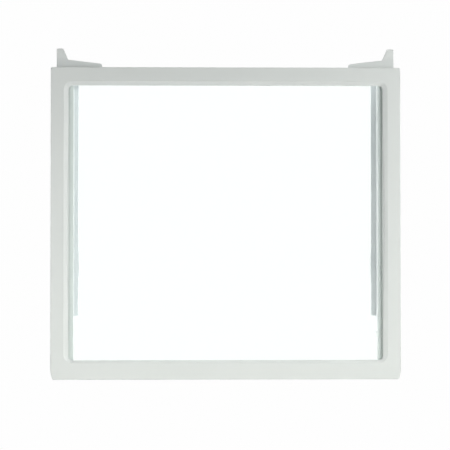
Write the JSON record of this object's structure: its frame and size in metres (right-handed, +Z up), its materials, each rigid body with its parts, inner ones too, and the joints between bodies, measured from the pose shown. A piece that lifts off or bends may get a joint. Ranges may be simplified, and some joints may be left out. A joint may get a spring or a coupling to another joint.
{
  "type": "crisper drawer cover",
  "caption": "Pale plastic frame round a clear glass pane, with fin-shaped rear tabs and drawer runners that hang below its sides.",
  "frame": {"origin": "under the middle of the whole cover, rear tabs included, at the level of the runners' flat undersides", "axes": "+Z up through the glass, -Y towards the front fascia, +Y towards the rear tabs, X across the width"},
  "size_m": [0.445, 0.4224, 0.036],
  "materials": {
    "frame_plastic": "fine satin moulded surface",
    "runner_plastic": "smooth moulded surface",
    "pane_glass": "clear polished"
  },
  "bodies": {
    "root": {"frame": "frame_plastic", "glass_panel": "pane_glass", "left_drawer_runner": "runner_plastic", "right_drawer_runner": "runner_plastic"}
  },
  "joints": []
}
